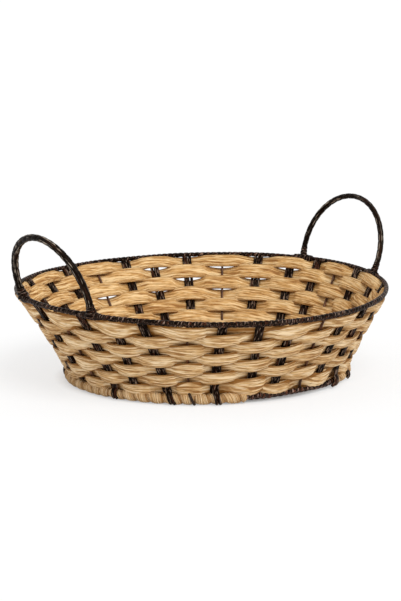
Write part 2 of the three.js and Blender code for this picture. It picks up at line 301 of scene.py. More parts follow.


# Stained cane: dark patches, warm where the stain is thin, and pale where it stands proud, partly from scuffs
# and partly as painted glints.
patch_scales = (110, 330, 330)
wear_and_glint_scales = (140, 700, 700)
cane_grain_scales = (260, 1900, 1900)
cane_roughness = (0.22, 0.46)
cane_grain_height = 0.00025
cane_grain_strength = 0.6
cane_shine_tint = (1, 0.8, 0.62, 1)
groove_shade = 0.75
groove_shade_colour = (0.004, 0.003, 0.002, 1)
cane_stain_shade_and_glint, given, gives = open_group(
    "cane_stain_shade_and_glint",
    [("Fibre", "Vector"), ("Groove", "Float"), ("Dark", "Color"), ("Warm", "Color"), ("Scuff And Glint", "Color"),
     ("Scuff And Glint Share", "Float")],
    [("Color", "Color"), ("Roughness", "Float"), ("Height", "Float")],
)
patches = drawn_noise(cane_stain_shade_and_glint, given["Fibre"], patch_scales, 3)
grain = drawn_noise(cane_stain_shade_and_glint, given["Fibre"], cane_grain_scales, 2)
wear_and_glint_noise = drawn_noise(cane_stain_shade_and_glint, given["Fibre"], wear_and_glint_scales, 2)
thin_stain = remap(cane_stain_shade_and_glint, patches, (0.54, 0.66))
# Pale flecks on the proud parts: partly real scuffs, partly painted glints.
wear_and_glint = remap(cane_stain_shade_and_glint, wear_and_glint_noise, (0.56, 0.64))
proud = calculate(cane_stain_shade_and_glint, "SUBTRACT", 1, given["Groove"])
wear_and_glint_proud = calculate(cane_stain_shade_and_glint, "MULTIPLY", wear_and_glint, proud)
wear_and_glint_share = calculate(cane_stain_shade_and_glint, "MULTIPLY", wear_and_glint_proud, given["Scuff And Glint Share"])
stained = blend_colour(cane_stain_shade_and_glint, thin_stain, given["Dark"], given["Warm"])
colour_with_wear_and_glints = blend_colour(cane_stain_shade_and_glint, wear_and_glint_share, stained, given["Scuff And Glint"])
# The grooves are darkened toward near black: painted shade.
shaded = calculate(cane_stain_shade_and_glint, "MULTIPLY", given["Groove"], groove_shade)
cane_stain_shade_and_glint.links.new(blend_colour(cane_stain_shade_and_glint, shaded, colour_with_wear_and_glints, groove_shade_colour), gives["Color"])
cane_stain_shade_and_glint.links.new(remap(cane_stain_shade_and_glint, grain, (0, 1), cane_roughness), gives["Roughness"])
cane_stain_shade_and_glint.links.new(grain, gives["Height"])


# Each paint's scuff colour and share give partly wear and partly painted glints.
def stained_cane(name, dark, warm, scuff_and_glint, scuff_and_glint_share, shine):
    paint = bpy.data.materials.new(name)
    paint.use_nodes = True
    tree = paint.node_tree
    shader = tree.nodes["Principled BSDF"]
    run = add_node(tree, "Attribute", {}, attribute_name="fibre")
    tuck = add_node(tree, "Attribute", {}, attribute_name="tuck")
    stain = add_node(tree, "Group", {}, node_tree=cane_stain_shade_and_glint)
    for label, value in (("Dark", dark), ("Warm", warm), ("Scuff And Glint", scuff_and_glint)):
        stain.inputs[label].default_value = (*value, 1)
    stain.inputs["Scuff And Glint Share"].default_value = scuff_and_glint_share
    tree.links.new(run.outputs["Vector"], stain.inputs["Fibre"])
    tree.links.new(tuck.outputs["Fac"], stain.inputs["Groove"])
    bump = add_node(tree, "Bump", {"Height": stain.outputs["Height"], "Strength": cane_grain_strength,
                                   "Distance": cane_grain_height})
    tree.links.new(stain.outputs["Color"], shader.inputs["Base Color"])
    tree.links.new(stain.outputs["Roughness"], shader.inputs["Roughness"])
    tree.links.new(bump.outputs["Normal"], shader.inputs["Normal"])
    shader.inputs["Specular IOR Level"].default_value = shine
    shader.inputs["Specular Tint"].default_value = cane_shine_tint
    return paint


def base_point(angle, inward):
    angle = np.asarray(angle, float)
    return np.stack([
        base_shift[0] + (base_half_length - inward) * np.cos(angle),
        base_shift[1] + (base_half_width - inward) * np.sin(angle),
        0 * angle,
    ], -1)


def base_frame(angle):
    centre = base_point(angle, 0)
    along = unit(base_point(np.asarray(angle) + angle_step, 0) - centre)
    up = straight_up(centre)
    return centre, along, up, np.cross(along, up)


lumpy_paint = stained_cane("base_binding", dark=(0.004, 0.001, 0.0005), warm=(0.11, 0.03, 0.012),
                           scuff_and_glint=(0.4, 0.27, 0.22), scuff_and_glint_share=0.9, shine=0.05)
hoop_turn = round_steps(hoop_steps)
centre, along, up, out = base_frame(hoop_turn)
centre = centre + up * hoop_middle
long_wave, short_wave = (np.sin(waves * hoop_turn) for waves in hoop_swell_waves)
lump_radius = base_hoop_radius * (1 + hoop_swell * long_wave * short_wave)[:, None]
rings, fibre, groove = wrapped_cord(centre, out, up, lump_radius, hoop_wrap_pitch, hoop_groove, hoop_sides,
                                    closed=True, lumps=hoop_lumps)
base_hoop = skin_piece("bound_base_hoop", rings, True, lumpy_paint, fibre, groove)
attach(base_hoop, "root")
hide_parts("base_hoop")

# The stakes: 24 bundles of three dark canes side by side, which stand between the hoops.
# The canes are split rods, stained nearly black, and the bundles stray a little along the wall.
# Some canes go on over the border's outer side, leaning right, and one whole bundle over the bare hoop.
stake_count = 32
first_stake = math.radians(1.6)
wire_every = 4
cane_radius = 0.00155
cane_pitch = 0.0031
cane_sides = 14
cane_sway = 0.00025
sway_bends = 5
sway_start = 9
cane_shift = 0.00015
cane_stain_step = 0.2
bar_stain_radius = 0.0017
upright_steps = 14
top_gap = 0.001
foot_gap = 0.0005
bare_after = 22
bare_before = 26.1
hidden_feet = (13, 14, 15, 16, 18, 22, 28, 29)
whole_foot = 26

# The feet that go on over the border: how they bend round it, in degrees, and how far they lean
foot_bend = (62, -42)
foot_steps = 10
foot_above = 0.004
foot_press = 0.3
foot_fan = 0.0008
foot_leans = (0.001, 0.005)
whole_foot_lean = -0.007

# The wall that they stand in flares from the border's crest to the rim, which saddles and tilts a little
rim_half_length = 0.190
rim_half_width = 0.179
rim_height = 0.091
rim_saddle = 0.0022
rim_tilt = 0.0024
flare_curve = 0.2
height_step = 0.0001

# How far the uprights stray along the wall at their top and at their foot, as shares of the spacing
strays = {
    0: (0.1, 0.1), 1: (-0.1, 0), 2: (-0.2, -0.1), 3: (-0.15, 0.1), 4: (-0.05, 0.1), 5: (0, 0.2), 6: (0, 0.15),
    7: (-0.15, 0.05), 8: (-0.1, 0.05), 18: (0.1, -0.1), 19: (-0.1, 0.15), 20: (0.15, -0.1), 21: (0.1, -0.2),
    22: (0.1, 0.1), 23: (0.1, 0), 24: (0.1, 0.15), 26: (-0.1, 0.2), 27: (0.1, 0.2), 31: (0.2, 0),
}
top_strays, foot_strays = zip(*(strays.get(stake % stake_count, (0, 0)) for stake in range(stake_count + 1)))

# The border's thickness at some places round it, as a share of its full one
border_places = [13, 15.5, 17.5, 19.5, 25, 26, 28, 30]
border_shares = [1, 0.78, 0.78, 1, 1, 0.7, 0.78, 1]

weave_seed = 7
draw = np.random.default_rng(weave_seed)
stake_paint = stained_cane("dark_cane", dark=(0.004, 0.0015, 0.0007), warm=(0.045, 0.014, 0.006),
                           scuff_and_glint=(0.26, 0.18, 0.13), scuff_and_glint_share=0.8, shine=0.04)


def stake_angle(place):
    return first_stake + np.asarray(place, float) / stake_count * 2 * np.pi


def strayed_angle(place, height):
    """The angle of a place on the wall, moved along with the uprights beside it."""
    share = np.clip((np.asarray(height) - border_height) / (rim_height - border_height), 0, 1)
    around = np.asarray(place) % stake_count
    top = np.interp(around, range(stake_count + 1), top_strays)
    foot = np.interp(around, range(stake_count + 1), foot_strays)
    return stake_angle(place + foot + (top - foot) * share)


def wall_point(angle, height):
    angle, height = np.broadcast_arrays(np.asarray(angle, float), np.asarray(height, float))
    share = np.maximum(height - border_height, 0) / (rim_height - border_height)
    flare = (share + flare_curve * share ** 2) / (1 + flare_curve)
    half_length = base_half_length + (rim_half_length - base_half_length) * flare
    half_width = base_half_width + (rim_half_width - base_half_width) * flare
    x = base_shift[0] * (1 - flare) + half_length * np.cos(angle)
    y = base_shift[1] * (1 - flare) + half_width * np.sin(angle)
    z = height + (rim_saddle * np.cos(2 * angle) + rim_tilt * np.sin(angle)) * share
    return np.stack([x, y, z], -1)


def wall_frame(angle, height):
    centre = wall_point(angle, height)
    along = unit(wall_point(np.asarray(angle) + angle_step, height) - centre)
    up = unit(wall_point(angle, np.asarray(height) + height_step) - centre)
    return centre, along, up, np.cross(along, up)


def round_bar(centres, outs, ups, radius, sides):
    phi = (np.arange(sides) + 0.5) / sides * 2 * np.pi
    x, y = np.atleast_2d(radius * np.cos(phi), radius * np.sin(phi))
    rings = ring_points(centres, outs, ups, x, y)
    run = run_along(centres)
    fibre = np.stack([run[:, None] + 0 * phi, bar_stain_radius * np.cos(phi) + 0 * run[:, None],
                      bar_stain_radius * np.sin(phi) + 0 * run[:, None]], -1)
    return rings, fibre


def join_pieces(name, pieces):
    """Several meshes of one real bundle as one piece."""
    with bpy.context.temp_override(active_object=pieces[0], selected_editable_objects=pieces,
                                   selected_objects=pieces, object=pieces[0]):
        bpy.ops.object.join()
    pieces[0].name = name
    return pieces[0]


def border_size(place):
    """The border's share of its thickness: it is thinner at the left and where it starts at the right."""
    return np.interp(np.asarray(place) % stake_count, border_places, border_shares)


def upright_path(stake, radius, over_border, lean):
    """Centres and directions of an upright, down from the rim, that ends on the border or goes on over it."""
    bottom = border_height + foot_gap
    if bare_after < stake < bare_before:
        bottom = hoop_middle + base_hoop_radius
    heights = np.linspace(rim_height - top_gap, bottom, upright_steps)
    centre, along, up, out = wall_frame(strayed_angle(stake, heights), heights)
    if not over_border:
        return centre, along, out
    foot, foot_along, foot_up, foot_out = base_frame(strayed_angle(stake, 0))
    bend = np.radians(np.linspace(*foot_bend, foot_steps))
    round_radius = hoop_middle * border_size(stake) + radius * np.linspace(1, foot_press, foot_steps)
    shift = np.linspace(1 / foot_steps, 1, foot_steps)[:, None] * lean
    arc = (foot + foot_up * hoop_middle + foot_out * (round_radius * np.cos(bend))[:, None]
           + foot_up * (round_radius * np.sin(bend))[:, None] + foot_along * shift)
    arc_out = foot_out * np.cos(bend)[:, None] + foot_up * np.sin(bend)[:, None]
    keep = centre[:, 2] > border_height + foot_above
    return (np.concatenate([centre[keep], arc]), np.concatenate([along[keep], 0 * arc + foot_along]),
            np.concatenate([out[keep], arc_out]))


for stake in range(stake_count):
    if stake % wire_every == 0:
        continue
    canes = []
    lean = draw.uniform(*foot_leans)
    if stake == whole_foot:
        lean = whole_foot_lean
    foot_hidden = stake in hidden_feet or bare_after < stake < bare_before
    for cane in (-1, 0, 1):
        goes_over = stake == whole_foot or not foot_hidden and (cane >= 0 if stake % 2 else cane == 0)
        centre, along, out = upright_path(stake, cane_radius, goes_over, lean + cane * foot_fan)
        run = np.linspace(0, 1, len(centre))
        wander = draw.uniform(-1, 1, 3)
        sway = cane_sway * (wander[0] + np.sin(run * sway_bends + sway_start * wander[1]))
        middle = centre + along * (cane * cane_pitch + sway)[:, None] + out * (cane_shift * wander[2])
        rings, fibre = round_bar(middle, out, along, cane_radius, cane_sides)
        fibre = fibre + [cane * cane_stain_step + stake, 0, 0]
        canes.append(skin_piece("cane", rings, False, stake_paint, fibre))
    bundle = join_pieces("canes_%02d" % stake, canes)
    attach(bundle, "root")
    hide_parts("cane_stake_%02d" % stake)

# The wire uprights: thin iron wire with a rust-brown coat, one in every fourth place.
# They stand between the hoops like the stakes, and most go on over the border with a thicker foot, darkened
# with painted shade.
wire_radius = 0.0012
wire_sides = 12
wire_lean = 0.006
wire_foot_swell = 0.3
wire_foot_height = 0.003
wire_paint = stained_cane("rusty_wire", dark=(0.05, 0.016, 0.008), warm=(0.18, 0.065, 0.03),
                          scuff_and_glint=(0.25, 0.13, 0.07), scuff_and_glint_share=0.5, shine=0.3)
for stake in range(0, stake_count, wire_every):
    goes_over = stake not in hidden_feet and not bare_after < stake < bare_before
    centre, along, out = upright_path(stake, wire_radius, goes_over, wire_lean)
    # On the border the foot is darkened through the grooves' painted shade.
    above_border = border_height + wire_foot_height - centre[:, 2]
    on_border = np.clip(above_border / wire_foot_height, 0, 1)[:, None]
    rings, fibre = round_bar(centre, out, along, wire_radius * (1 + wire_foot_swell * on_border), wire_sides)
    wire = skin_piece("wire_%02d" % stake, rings, False, wire_paint, fibre, on_border + 0 * rings[..., 0])
    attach(wire, "root")
    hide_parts("wire_upright_%02d" % stake)

# The wall rows: two weavers of loosely twisted straw that chase each other round the basket.
# Each goes outside one upright and inside the next, and the pair climbs two rows in a round.
# A pass spreads over its upright like a lens, and is squeezed where it goes between two.
wall_rows = 7
row_gap = 0.0006
rim_hoop_radius = 0.0031
rows_bottom = border_height + row_gap
rows_top = rim_height - rim_hoop_radius - row_gap / 2
row_pitch = (rows_top - rows_bottom) / wall_rows
thin_half = 0.0014
thick_half = 0.0024
upright_gap = 0.0001
crest_gap = 0.0002
steps_per_stake = 16
last_places = (-9.0, 14.6)
first_level = wall_rows + 0.12
tucked_end = 1.5
taper_stretch = 0.5
least_taper = 0.02
full_half_rows = 0.45
squeezed_share = 0.5
weaver_lot = 7.3
end_slim = 0.95

# How far a pass reaches up and down from its middle, in rows: between two uprights, outside and inside one
crossing_share = 0.6
outside_share = 0.64
wire_outside_share = 0.75
inside_share = 0.6
front_inside_share = 0.85
front_places = (15, 28)
right_narrowing = 0.17
narrow_after = 21
narrow_stretch = 5
least_rows = 0.15
reach_range = (0.95, 1.08)
swell_range = (0.94, 1.05)
droop_size = 0.00035
outside_bow = 0.95
inside_bow = 0.5

# The loose passes at the back, which let the light through above them: the levels that they lie between
loose_share = 0.42
loose_range = (0.85, 1.1)
loose_bow = 0.6
loose_levels = {2: (0, 2), 3: (0, 3), 4: (0, 4), 5: (0, 3), 6: (0, 4), 8: (2, 4)}

# Where the top and the bottom row end, in rows: under the rim, on the border and behind the bare hoop
rim_rows = -0.2
rim_blend = (1.12, 0.3)
border_rows = 0.45
bare_rows = 0.85
border_blend = (1.15, 0.25)
bare_blend_in = 1.6
bare_blend_out = 0.9
bare_blend_end = bare_before - 0.2

# The climb in rows: steep at the front right, level along the back, and a little more at the back left
climb_start = -15
climb_rounds = 4
climb_step = 0.01
first_climb = -0.36
front_climb = 1.66
front_stretch = 10.5
back_from = 22.5
back_stretch = 9.5


def ease(share):
    share = np.clip(share, 0, 1)
    return share * share * (3 - 2 * share)


def climb(place):
    rounds = np.floor((place - climb_start) / stake_count)
    local = place - climb_start - rounds * stake_count
    return (2 * rounds + first_climb + front_climb * ease(local / front_stretch)
            + (2 - front_climb) * ease((local - back_from) / back_stretch))


# Straw: streaks along the fibre from brown to pale, the palest partly painted sheen, with painted shade where
# it is tucked in.
# It is a warmer, slightly darker gold inside the basket: partly straw that hasn't bleached, partly painted
# shade.
fine_scales = (48, 6, 6)
broad_scales = (17, 2.6, 2.6)
fine_roughness = 0.6
fine_weight = 1.5
broad_weight = 0.5
straw_roughness = (0.5, 0.75)
straw_relief = 0.0013
straw_relief_strength = 0.9
straw_shine = 0.12
unbleached_and_shaded = (0.96, 0.89, 0.75)
straw_streaks, given, gives = open_group(
    "straw_streaks",
    [("Fibre", "Vector"), ("Tuck", "Float"), ("Inner", "Float"), ("Brown", "Color"), ("Golden", "Color"),
     ("Pale And Sheen", "Color"), ("Tucked Shade", "Color"), ("Unbleached And Shaded", "Color")],
    [("Color", "Color"), ("Roughness", "Float"), ("Height", "Float")],
)
fine = drawn_noise(straw_streaks, given["Fibre"], fine_scales, 3, fine_roughness)
broad = drawn_noise(straw_streaks, given["Fibre"], broad_scales, 2)
weighted = calculate(straw_streaks, "MULTIPLY", broad, broad_weight)
tone = calculate(straw_streaks, "MULTIPLY_ADD", fine, fine_weight, weighted)
to_golden = remap(straw_streaks, tone, (0.83, 0.94))
# The palest streaks are partly the straw's own tone and partly painted sheen.
to_pale_and_sheen = remap(straw_streaks, tone, (1, 1.12))
golden = blend_colour(straw_streaks, to_golden, given["Brown"], given["Golden"])
pale_and_sheen = blend_colour(straw_streaks, to_pale_and_sheen, golden, given["Pale And Sheen"])
# Inside the basket the straw is tinted warmer and darker: partly unbleached straw, partly painted shade.
warm = blend_colour(straw_streaks, given["Inner"], pale_and_sheen, given["Unbleached And Shaded"], "MULTIPLY")
straw_streaks.links.new(blend_colour(straw_streaks, given["Tuck"], warm, given["Tucked Shade"]), gives["Color"])
straw_streaks.links.new(remap(straw_streaks, fine, (0, 1), straw_roughness), gives["Roughness"])
straw_streaks.links.new(fine, gives["Height"])


def straw_finish(name, brown, golden, pale_and_sheen, tucked_shade):
    paint = bpy.data.materials.new(name)
    paint.use_nodes = True
    tree = paint.node_tree
    shader = tree.nodes["Principled BSDF"]
    run = add_node(tree, "Attribute", {}, attribute_name="fibre")
    tuck = add_node(tree, "Attribute", {}, attribute_name="tuck")
    inner = add_node(tree, "Attribute", {}, attribute_name="inner")
    streaks = add_node(tree, "Group", {}, node_tree=straw_streaks)
    for label, value in (("Brown", brown), ("Golden", golden), ("Pale And Sheen", pale_and_sheen), ("Tucked Shade", tucked_shade),
                         ("Unbleached And Shaded", unbleached_and_shaded)):
        streaks.inputs[label].default_value = (*value, 1)
    tree.links.new(run.outputs["Vector"], streaks.inputs["Fibre"])
    tree.links.new(tuck.outputs["Fac"], streaks.inputs["Tuck"])
    tree.links.new(inner.outputs["Fac"], streaks.inputs["Inner"])
    bump = add_node(tree, "Bump", {"Height": streaks.outputs["Height"], "Strength": straw_relief_strength,
                                   "Distance": straw_relief})
    tree.links.new(streaks.outputs["Color"], shader.inputs["Base Color"])
    tree.links.new(streaks.outputs["Roughness"], shader.inputs["Roughness"])
    tree.links.new(bump.outputs["Normal"], shader.inputs["Normal"])
    shader.inputs["Specular IOR Level"].default_value = straw_shine
    return paint


straw_paint = straw_finish("straw", brown=(0.34, 0.17, 0.06), golden=(0.64, 0.4, 0.175),
                           pale_and_sheen=(0.88, 0.68, 0.425), tucked_shade=(0.25, 0.098, 0.015))

# The twist of a straw bundle: its strands, and how dark the painted shade is in the grooves between them,
# where rows meet and on its hidden parts
straw_sides = 60
strand_count = 17
strand_depth = 0.0006
strand_sway = 0.7
sway_waves = 23
strand_sharpness = 0.5
side_roundness = 0.7
top_roundness = 0.75
twist_length = 0.7
groove_shade_share = 0.75
groove_falloff = 1.5
meeting_width = 0.1
meeting_shade = 0.9
behind_shade = 0.8
inner_shade_loss = 0.6


def softened(values, power):
    """Values between -1 and 1, pushed out toward their ends by a power below 1."""
    return np.sign(values) * np.abs(values) ** power


def straw_rings(centres, outs, ups, half_out, half_up, run, lot):
    """Rings of a straw bundle: a soft oval whose strands are uneven low ridges that turn slowly along it."""
    phi = round_steps(straw_sides)
    turned = phi[None] + (run / twist_length * 2 * np.pi)[:, None]
    sway = strand_sway * np.sin(3 * turned + sway_waves * run[:, None] + lot)
    ridge = np.abs(np.cos(turned * strand_count / 2 + sway)) ** strand_sharpness
    across = softened(np.cos(phi), side_roundness)
    rise = softened(np.sin(phi), top_roundness)
    depth = strand_depth * (ridge - 1)
    x = (half_out[:, None] + depth) * across[None]
    y = (half_up[:, None] + depth) * rise[None]
    rings = ring_points(centres, outs, ups, x, y)
    fibre = np.stack([run[:, None] + lot + 0 * phi, np.cos(turned), np.sin(turned)], -1)
    # The grooves between the strands get painted shade.
    return rings, fibre, groove_shade_share * (1 - ridge) ** groove_falloff, phi, y


long_way = np.arange(climb_start - climb_rounds * stake_count, climb_start + stake_count, climb_step)
row_parts = {row: [] for row in range(1, wall_rows + 1)}
for weaver in (1, 2):
    start = np.interp(weaver - 0.5 - first_level, climb(long_way), long_way)
    finish = last_places[weaver - 1]
    place = np.linspace(start, finish, round((finish - start) * steps_per_stake) + 1)
    level = weaver - 0.5 - climb(place)

    # Each upright that it passes: the side, how far out it goes and how far it spreads there
    first = math.floor(start) - 1
    stakes = np.arange(first, math.ceil(finish) + 3)
    stake_place = stakes % stake_count
    stake_level = weaver - 0.5 - climb(stakes)
    is_wire = stakes % wire_every == 0
    side = np.where(((stakes + weaver) % 2 == 0) | (stakes > finish - tucked_end), -1, 1)
    bow = np.where(side > 0, outside_bow, inside_bow)
    bar = np.where(is_wire, wire_radius, cane_radius)
    reach = (bar + upright_gap + thin_half) * draw.uniform(*reach_range, len(stakes))
    outward = np.where(is_wire, wire_outside_share, outside_share)
    narrowed = ease((stake_place - narrow_after) / narrow_stretch) * (stake_place > narrow_after)
    outward = outward - right_narrowing * narrowed
    swell = np.where(side > 0, outward, inside_share) * draw.uniform(*swell_range, len(stakes))
    loose_from, loose_to = np.array([loose_levels.get(stake, (0, 0)) for stake in stake_place]).T
    is_loose = (side > 0) & (stake_level > loose_from) & (stake_level < loose_to)
    rise_share = np.where(is_loose, loose_share * draw.uniform(*loose_range, len(stakes)), swell)
    in_front = (stake_place > front_places[0]) & (stake_place < front_places[1])
    drop_share = np.where(in_front & (side < 0), front_inside_share, swell)
    droop = draw.normal(0, droop_size, len(stakes))

    # The path in and out. The end stays inside once it is tucked in
    here = np.floor(place).astype(int) - first
    swing = np.cos(np.pi * (place - np.floor(place)))
    near = np.maximum(swing, 0)
    far = np.maximum(-swing, 0)
    offset = (side[here] * reach[here] * near ** bow[here]
              + side[here + 1] * reach[here + 1] * far ** bow[here + 1])
    offset = np.where(side[here] == side[here + 1], side[here] * reach[here], offset)

    def spread(shares, power=1):
        return (crossing_share + (shares[here] - crossing_share) * near ** power
                + (shares[here + 1] - crossing_share) * far ** power)

    # Its top and bottom, in rows down from the top of the wall
    around = place % stake_count
    over_bare_hoop = (ease((around - bare_after) / bare_blend_in)
                      * ease((bare_blend_end - around) / bare_blend_out))
    top = level - spread(rise_share, np.where(is_loose[here] | is_loose[here + 1], loose_bow, 1))
    top = np.maximum(top + (rim_rows - top) * ease((rim_blend[0] - level) / rim_blend[1]), rim_rows)
    foot = wall_rows + border_rows + (bare_rows - border_rows) * over_bare_hoop
    bottom = level + spread(drop_share)
    on_foot = ease((level - wall_rows + border_blend[0]) / border_blend[1])
    bottom = np.minimum(bottom + (foot - bottom) * on_foot, foot)
    taper = np.clip(np.minimum(place - start, finish - place) / taper_stretch, least_taper, 1) ** 0.5
    bottom = np.where(level < 1, top + (bottom - top) * taper, bottom)
    half_rows = np.maximum(bottom - top, least_rows) / 2
    sag = droop[here] * near + droop[here + 1] * far
    height = rows_top - (top + half_rows) * row_pitch + sag
    angle = strayed_angle(place, height)
    slope_pitch = wall_point(angle, height + row_pitch / 2) - wall_point(angle, height - row_pitch / 2)
    slope_pitch = np.linalg.norm(slope_pitch, axis=1)

    # Below the border's crest a pass goes on in the line of the flare, in behind the hoop
    on_flare = np.maximum(height, border_height + crest_gap)
    centre, along, up, out = wall_frame(angle, on_flare)
    centre = centre + up * (height - on_flare)[:, None] + out * offset[:, None]
    run = run_along(centre)
    thickness = thin_half + (thick_half - thin_half) * (1 - np.abs(swing))
    thickness = thickness * np.clip(half_rows / full_half_rows, squeezed_share, 1) * taper
    half_up = half_rows * slope_pitch * taper
    rings, fibre, groove, phi, rise = straw_rings(centre, out, up, thickness, half_up, run,
                                                  weaver * weaver_lot)

    # Painted shade where a row meets the next, and where it is out of sight behind an upright, lighter on the
    # inner side
    turned_out = np.cos(phi)[None]
    on_top = offset[:, None] * turned_out > 0
    over = np.where(on_top, half_rows[:, None], 1 - np.where(turned_out > 0, outside_share, inside_share))
    edge = 0.5 + (over - 0.5) * np.abs(swing)[:, None]
    meeting = ease((np.abs(rise) / slope_pitch[:, None] - edge + meeting_width) / meeting_width)
    behind = np.clip(-(offset / reach.mean())[:, None] * turned_out, 0, 1)
    inner = ease(0.5 - 2 * turned_out) + 0 * rise
    tuck = (groove + (meeting_shade - inner_shade_loss * inner) * meeting
            + (behind_shade - inner_shade_loss * inner) * behind ** 12)

    # Cut by row. Each length's ends run on a little inside the next one, so that no seam shows
    for row in row_parts:
        part = np.flatnonzero(((level <= row) | (row == wall_rows)) & ((level >= row - 1) | (row == 1)))
        part = np.arange(max(part[0] - 1, 0), min(part[-1] + 3, len(place)))
        slim = np.ones(len(part))
        slim[[0, -1]] = end_slim
        length = centre[part][:, None] + (rings[part] - centre[part][:, None]) * slim[:, None, None]
        row_parts[row].append(
            skin_piece("weaver", length, False, straw_paint, fibre[part], tuck[part], inner[part]))
for row, parts in row_parts.items():
    wall_row = join_pieces("straw_row_%d" % row, parts)
    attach(wall_row, "root")
    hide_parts("wall_row_%d" % row)

# The border: fat wraps of straw wound side by side round the base hoop, pressed flat underneath.
# Each wrap leans its own way. They are thinner at the left and right.
# They leave the hoop bare at the front right.
whipping_start = -5.9
whipping_end = 22
whipping_steps = 2600
whipping_sides = 40
whipping_end_length = 0.004
wrap_width = 0.0145
wrap_widths = (0.8, 1.25)
wrap_leans = (-0.05, 0.6)
spare_wraps = 12
first_wrap = 8
wrap_strands = 6
wrap_strand_sway = 0.8
wrap_strand_falloff = 1.3
wrap_roundness = 0.45
wrap_groove = 0.42
wrap_unevenness = 0.08
wrap_stain_step = 0.31
wrap_groove_shade_share = 0.85
wrap_strand_shade = 0.8
hidden_hoop_share = 0.9
places = np.linspace(whipping_start, whipping_end, whipping_steps)
centre, along, up, out = base_frame(stake_angle(places))
centre = centre + up * hoop_middle
run = run_along(centre)
wrap_count = round(run[-1] / wrap_width) + spare_wraps
wrap_edges = np.cumsum(np.append(0, wrap_width * draw.uniform(*wrap_widths, wrap_count)))
wrap_lean = np.interp(run, wrap_edges, draw.uniform(*wrap_leans, len(wrap_edges)))[:, None]
phi = round_steps(whipping_sides)
down = ((np.pi / 2 - phi) % (2 * np.pi) / np.pi)[None]
advance = np.where(down < 1, wrap_lean * down, wrap_lean + (1 - wrap_lean) * (down - 1))
turn = np.interp(run, wrap_edges, np.arange(len(wrap_edges)))[:, None] - advance + first_wrap
across = turn % 1
wrap_number = np.floor(turn)
bulge = np.maximum(1 - (2 * across - 1) ** 2, 0) ** wrap_roundness
sway = wrap_strand_sway * np.sin(wrap_number * 5 + 3 * down)
ridge = np.abs(np.cos(across * np.pi * wrap_strands + sway)) ** strand_sharpness
wrap_size = 1 + wrap_unevenness * np.sin(wrap_number * uneven_step)
radius = hoop_middle * (1 - wrap_groove * (1 - bulge)) * wrap_size - strand_depth * (1 - ridge)
radius = radius * border_size(places)[:, None]
end_taper = np.clip(np.minimum(run, run[-1] - run) / whipping_end_length, 0, 1)[:, None] ** 0.5
radius = np.maximum(radius * end_taper, base_hoop_radius * hidden_hoop_share)
rings = ring_points(centre, out, up, radius * np.cos(phi), radius * np.sin(phi))
rings[..., 2] = np.maximum(rings[..., 2], 0)
fibre = np.stack([down * hoop_middle * np.pi + wrap_number * wrap_stain_step, np.cos(across * np.pi * 2),
                  np.sin(across * np.pi * 2)], -1)
# Painted shade in the grooves between the wraps and between their strands.
tuck = wrap_groove_shade_share * (1 - bulge) + wrap_strand_shade * (1 - ridge) ** wrap_strand_falloff
border = skin_piece("straw_border", rings, False, straw_paint, fibre, tuck)
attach(border, "root")
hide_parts("border_whipping")

# The floor's rows: oval rounds of straw, woven over and under the arms of a star of flat sticks.
# They lie side by side from the base hoop inward, and spread a little where they cross a stick.
floor_height = 0.0076
floor_rows = 6
floor_straw_half = 0.0019
floor_start = hoop_middle + 0.0006
floor_row_share = 0.53
floor_row_swell = 0.07
floor_lot = 40
floor_row_lot = 3.1
floor_seam_shade = 0.7
floor_seam_sharpness = 14
star_arms = 16
steps_per_arm = 24
row_end_gap = 0.03
stick_thickness = 0.003
hub_half_length = 0.040
floor_pitch = (base_half_length - hub_half_length - floor_start) / floor_rows
floor_straw_paint = straw_finish("floor_straw", brown=(0.33, 0.17, 0.06), golden=(0.6, 0.36, 0.15),
                                 pale_and_sheen=(0.8, 0.58, 0.33), tucked_shade=(0.11, 0.045, 0.014))
for row in range(floor_rows):
    arm = np.linspace(row_end_gap, star_arms - row_end_gap, star_arms * steps_per_arm) + (row + 1) % 2
    side = np.where(row % 2 == 0, 1, -1) * np.cos(np.pi * arm)
    angle = arm / star_arms * 2 * np.pi
    centre = base_point(angle, floor_start + (row + 0.5) * floor_pitch)
    along = unit(np.gradient(centre, axis=0))
    up = straight_up(centre)
    lift = softened(side, 0.8) * (stick_thickness / 2 + floor_straw_half)
    centre = centre + up * (floor_height + lift)[:, None]
    half_across = floor_pitch * (floor_row_share + floor_row_swell * np.abs(side))
    rings, fibre, groove, phi, rise = straw_rings(centre, up, np.cross(along, up),
                                                  np.full(len(arm), floor_straw_half), half_across,
                                                  run_along(centre), floor_lot + row * floor_row_lot)
    # Painted shade in the grooves between the strands and along the seams where the rows meet.
    tuck = groove + floor_seam_shade * np.abs(np.sin(phi)) ** floor_seam_sharpness
    floor_row = skin_piece("floor_straw_%d" % (row + 1), rings, False, floor_straw_paint, fibre, tuck)
    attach(floor_row, "root")
    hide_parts("floor_row_%d" % (row + 1))

